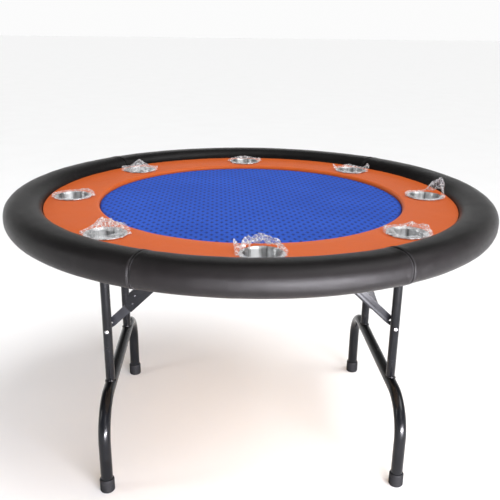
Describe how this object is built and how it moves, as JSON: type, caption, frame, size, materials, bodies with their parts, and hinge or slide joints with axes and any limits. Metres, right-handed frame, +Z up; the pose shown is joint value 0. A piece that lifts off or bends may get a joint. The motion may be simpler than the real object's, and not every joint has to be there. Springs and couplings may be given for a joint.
{
  "type": "folding poker table",
  "caption": "Round folding card table with a padded rail, vinyl racetrack with drop-in cup holders, recessed cloth playing area and two folding tube leg frames.",
  "frame": {"origin": "on the floor, under the middle of the round top", "axes": "+Z up; +X from the middle towards the right-hand leg frame; +Y away from the front cup holder"},
  "size_m": [1.32, 1.32, 0.7599],
  "materials": {
    "plywood": "plain birch plywood, unfinished edges",
    "foam": "upholstery foam",
    "rail_leather": "black leatherette with a fine pebble grain, satin",
    "track_vinyl": "orange padded vinyl, satin",
    "play_cloth": "blue speed cloth with a small woven figure",
    "cup_steel": "bright stainless steel, spun",
    "frame_paint": "gloss black powder coat",
    "brace_steel": "dark grey coated steel strip",
    "zinc_steel": "bright zinc plated steel",
    "rubber": "black moulded rubber",
    "clear_film": "thin clear protective film, crinkled",
    "thread": "black sewing thread"
  },
  "bodies": {
    "table_top": {"base_board": "plywood", "play_board": "plywood", "play_foam": "foam", "play_cloth": "play_cloth", "racetrack_board": "plywood", "racetrack_foam": "foam", "racetrack_cover": "track_vinyl", "rail_core": "plywood", "rail_foam": "foam", "rail_cover": "rail_leather", "hinge_rod_left": "zinc_steel", "brace_rod_left": "zinc_steel", "hinge_bracket_left_front": "frame_paint", "brace_bracket_left_front": "frame_paint", "hinge_bracket_left_back": "frame_paint", "brace_bracket_left_back": "frame_paint", "hinge_rod_right": "zinc_steel", "brace_rod_right": "zinc_steel", "hinge_bracket_right_front": "frame_paint", "brace_bracket_right_front": "frame_paint", "hinge_bracket_right_back": "frame_paint", "brace_bracket_right_back": "frame_paint"},
    "cup_1": {"cup_holder_1": "cup_steel"},
    "cup_2": {"cup_holder_2": "cup_steel"},
    "cup_3": {"cup_holder_3": "cup_steel"},
    "cup_4": {"cup_holder_4": "cup_steel"},
    "cup_5": {"cup_holder_5": "cup_steel"},
    "cup_6": {"cup_holder_6": "cup_steel"},
    "cup_7": {"cup_holder_7": "cup_steel"},
    "cup_8": {"cup_holder_8": "cup_steel"},
    "leg_frame_left": {"leg_tube_left": "frame_paint", "upright_left_front": "frame_paint", "upright_left_back": "frame_paint", "foot_left_front": "rubber", "foot_left_back": "rubber", "brace_bolt_left_front": "zinc_steel", "brace_bolt_left_back": "zinc_steel"},
    "lower_brace_left_front": {"lower_link_left_front": "brace_steel", "lock_plate_left_front": "frame_paint", "knee_rivet_left_front": "zinc_steel"},
    "upper_brace_left_front": {"upper_link_left_front": "brace_steel"},
    "lower_brace_left_back": {"lower_link_left_back": "brace_steel", "lock_plate_left_back": "frame_paint", "knee_rivet_left_back": "zinc_steel"},
    "upper_brace_left_back": {"upper_link_left_back": "brace_steel"},
    "leg_frame_right": {"leg_tube_right": "frame_paint", "upright_right_front": "frame_paint", "upright_right_back": "frame_paint", "foot_right_front": "rubber", "foot_right_back": "rubber", "brace_bolt_right_front": "zinc_steel", "brace_bolt_right_back": "zinc_steel"},
    "lower_brace_right_front": {"lower_link_right_front": "brace_steel", "lock_plate_right_front": "frame_paint", "knee_rivet_right_front": "zinc_steel"},
    "upper_brace_right_front": {"upper_link_right_front": "brace_steel"},
    "lower_brace_right_back": {"lower_link_right_back": "brace_steel", "lock_plate_right_back": "frame_paint", "knee_rivet_right_back": "zinc_steel"},
    "upper_brace_right_back": {"upper_link_right_back": "brace_steel"}
  },
  "joints": [
    {"name": "leg_fold_left", "type": "hinge", "parent": "table_top", "child": "leg_frame_left", "pos_m": [-0.392, 0, 0.67], "axis": [0, -1, 0], "range_deg": [0, 90]},
    {"name": "upper_brace_turn_left_front", "type": "hinge", "parent": "table_top", "child": "upper_brace_left_front", "pos_m": [-0.11, 0, 0.67], "axis": [0, 1, 0], "range_deg": [0, 43.38]},
    {"name": "lower_brace_turn_left_front", "type": "hinge", "parent": "leg_frame_left", "child": "lower_brace_left_front", "pos_m": [-0.392, 0, 0.404], "axis": [0, -1, 0], "range_deg": [0, 46.72]},
    {"name": "upper_brace_turn_left_back", "type": "hinge", "parent": "table_top", "child": "upper_brace_left_back", "pos_m": [-0.11, 0, 0.67], "axis": [0, 1, 0], "range_deg": [0, 43.38]},
    {"name": "lower_brace_turn_left_back", "type": "hinge", "parent": "leg_frame_left", "child": "lower_brace_left_back", "pos_m": [-0.392, 0, 0.404], "axis": [0, -1, 0], "range_deg": [0, 46.72]},
    {"name": "leg_fold_right", "type": "hinge", "parent": "table_top", "child": "leg_frame_right", "pos_m": [0.392, 0, 0.67], "axis": [0, 1, 0], "range_deg": [0, 84]},
    {"name": "upper_brace_turn_right_front", "type": "hinge", "parent": "table_top", "child": "upper_brace_right_front", "pos_m": [0.11, 0, 0.67], "axis": [0, -1, 0], "range_deg": [0, 42.18]},
    {"name": "lower_brace_turn_right_front", "type": "hinge", "parent": "leg_frame_right", "child": "lower_brace_right_front", "pos_m": [0.392, 0, 0.404], "axis": [0, 1, 0], "range_deg": [0, 45.43]},
    {"name": "upper_brace_turn_right_back", "type": "hinge", "parent": "table_top", "child": "upper_brace_right_back", "pos_m": [0.11, 0, 0.67], "axis": [0, -1, 0], "range_deg": [0, 42.18]},
    {"name": "lower_brace_turn_right_back", "type": "hinge", "parent": "leg_frame_right", "child": "lower_brace_right_back", "pos_m": [0.392, 0, 0.404], "axis": [0, 1, 0], "range_deg": [0, 45.43]},
    {"name": "cup_lift_1", "type": "slide", "parent": "table_top", "child": "cup_1", "axis": [0, 0, 1], "range_m": [0, 0.08]},
    {"name": "cup_lift_2", "type": "slide", "parent": "table_top", "child": "cup_2", "axis": [0, 0, 1], "range_m": [0, 0.08]},
    {"name": "cup_lift_3", "type": "slide", "parent": "table_top", "child": "cup_3", "axis": [0, 0, 1], "range_m": [0, 0.08]},
    {"name": "cup_lift_4", "type": "slide", "parent": "table_top", "child": "cup_4", "axis": [0, 0, 1], "range_m": [0, 0.08]},
    {"name": "cup_lift_5", "type": "slide", "parent": "table_top", "child": "cup_5", "axis": [0, 0, 1], "range_m": [0, 0.08]},
    {"name": "cup_lift_6", "type": "slide", "parent": "table_top", "child": "cup_6", "axis": [0, 0, 1], "range_m": [0, 0.08]},
    {"name": "cup_lift_7", "type": "slide", "parent": "table_top", "child": "cup_7", "axis": [0, 0, 1], "range_m": [0, 0.08]},
    {"name": "cup_lift_8", "type": "slide", "parent": "table_top", "child": "cup_8", "axis": [0, 0, 1], "range_m": [0, 0.08]}
  ],
  "couplings": [
    {"joint": "upper_brace_turn_left_front", "follows": "leg_fold_left", "ratio": 0.48142},
    {"joint": "lower_brace_turn_left_front", "follows": "leg_fold_left", "ratio": 0.51858},
    {"joint": "upper_brace_turn_left_back", "follows": "leg_fold_left", "ratio": 0.48142},
    {"joint": "lower_brace_turn_left_back", "follows": "leg_fold_left", "ratio": 0.51858},
    {"joint": "upper_brace_turn_right_front", "follows": "leg_fold_right", "ratio": 0.50151},
    {"joint": "lower_brace_turn_right_front", "follows": "leg_fold_right", "ratio": 0.54029},
    {"joint": "upper_brace_turn_right_back", "follows": "leg_fold_right", "ratio": 0.50151},
    {"joint": "lower_brace_turn_right_back", "follows": "leg_fold_right", "ratio": 0.54029}
  ]
}
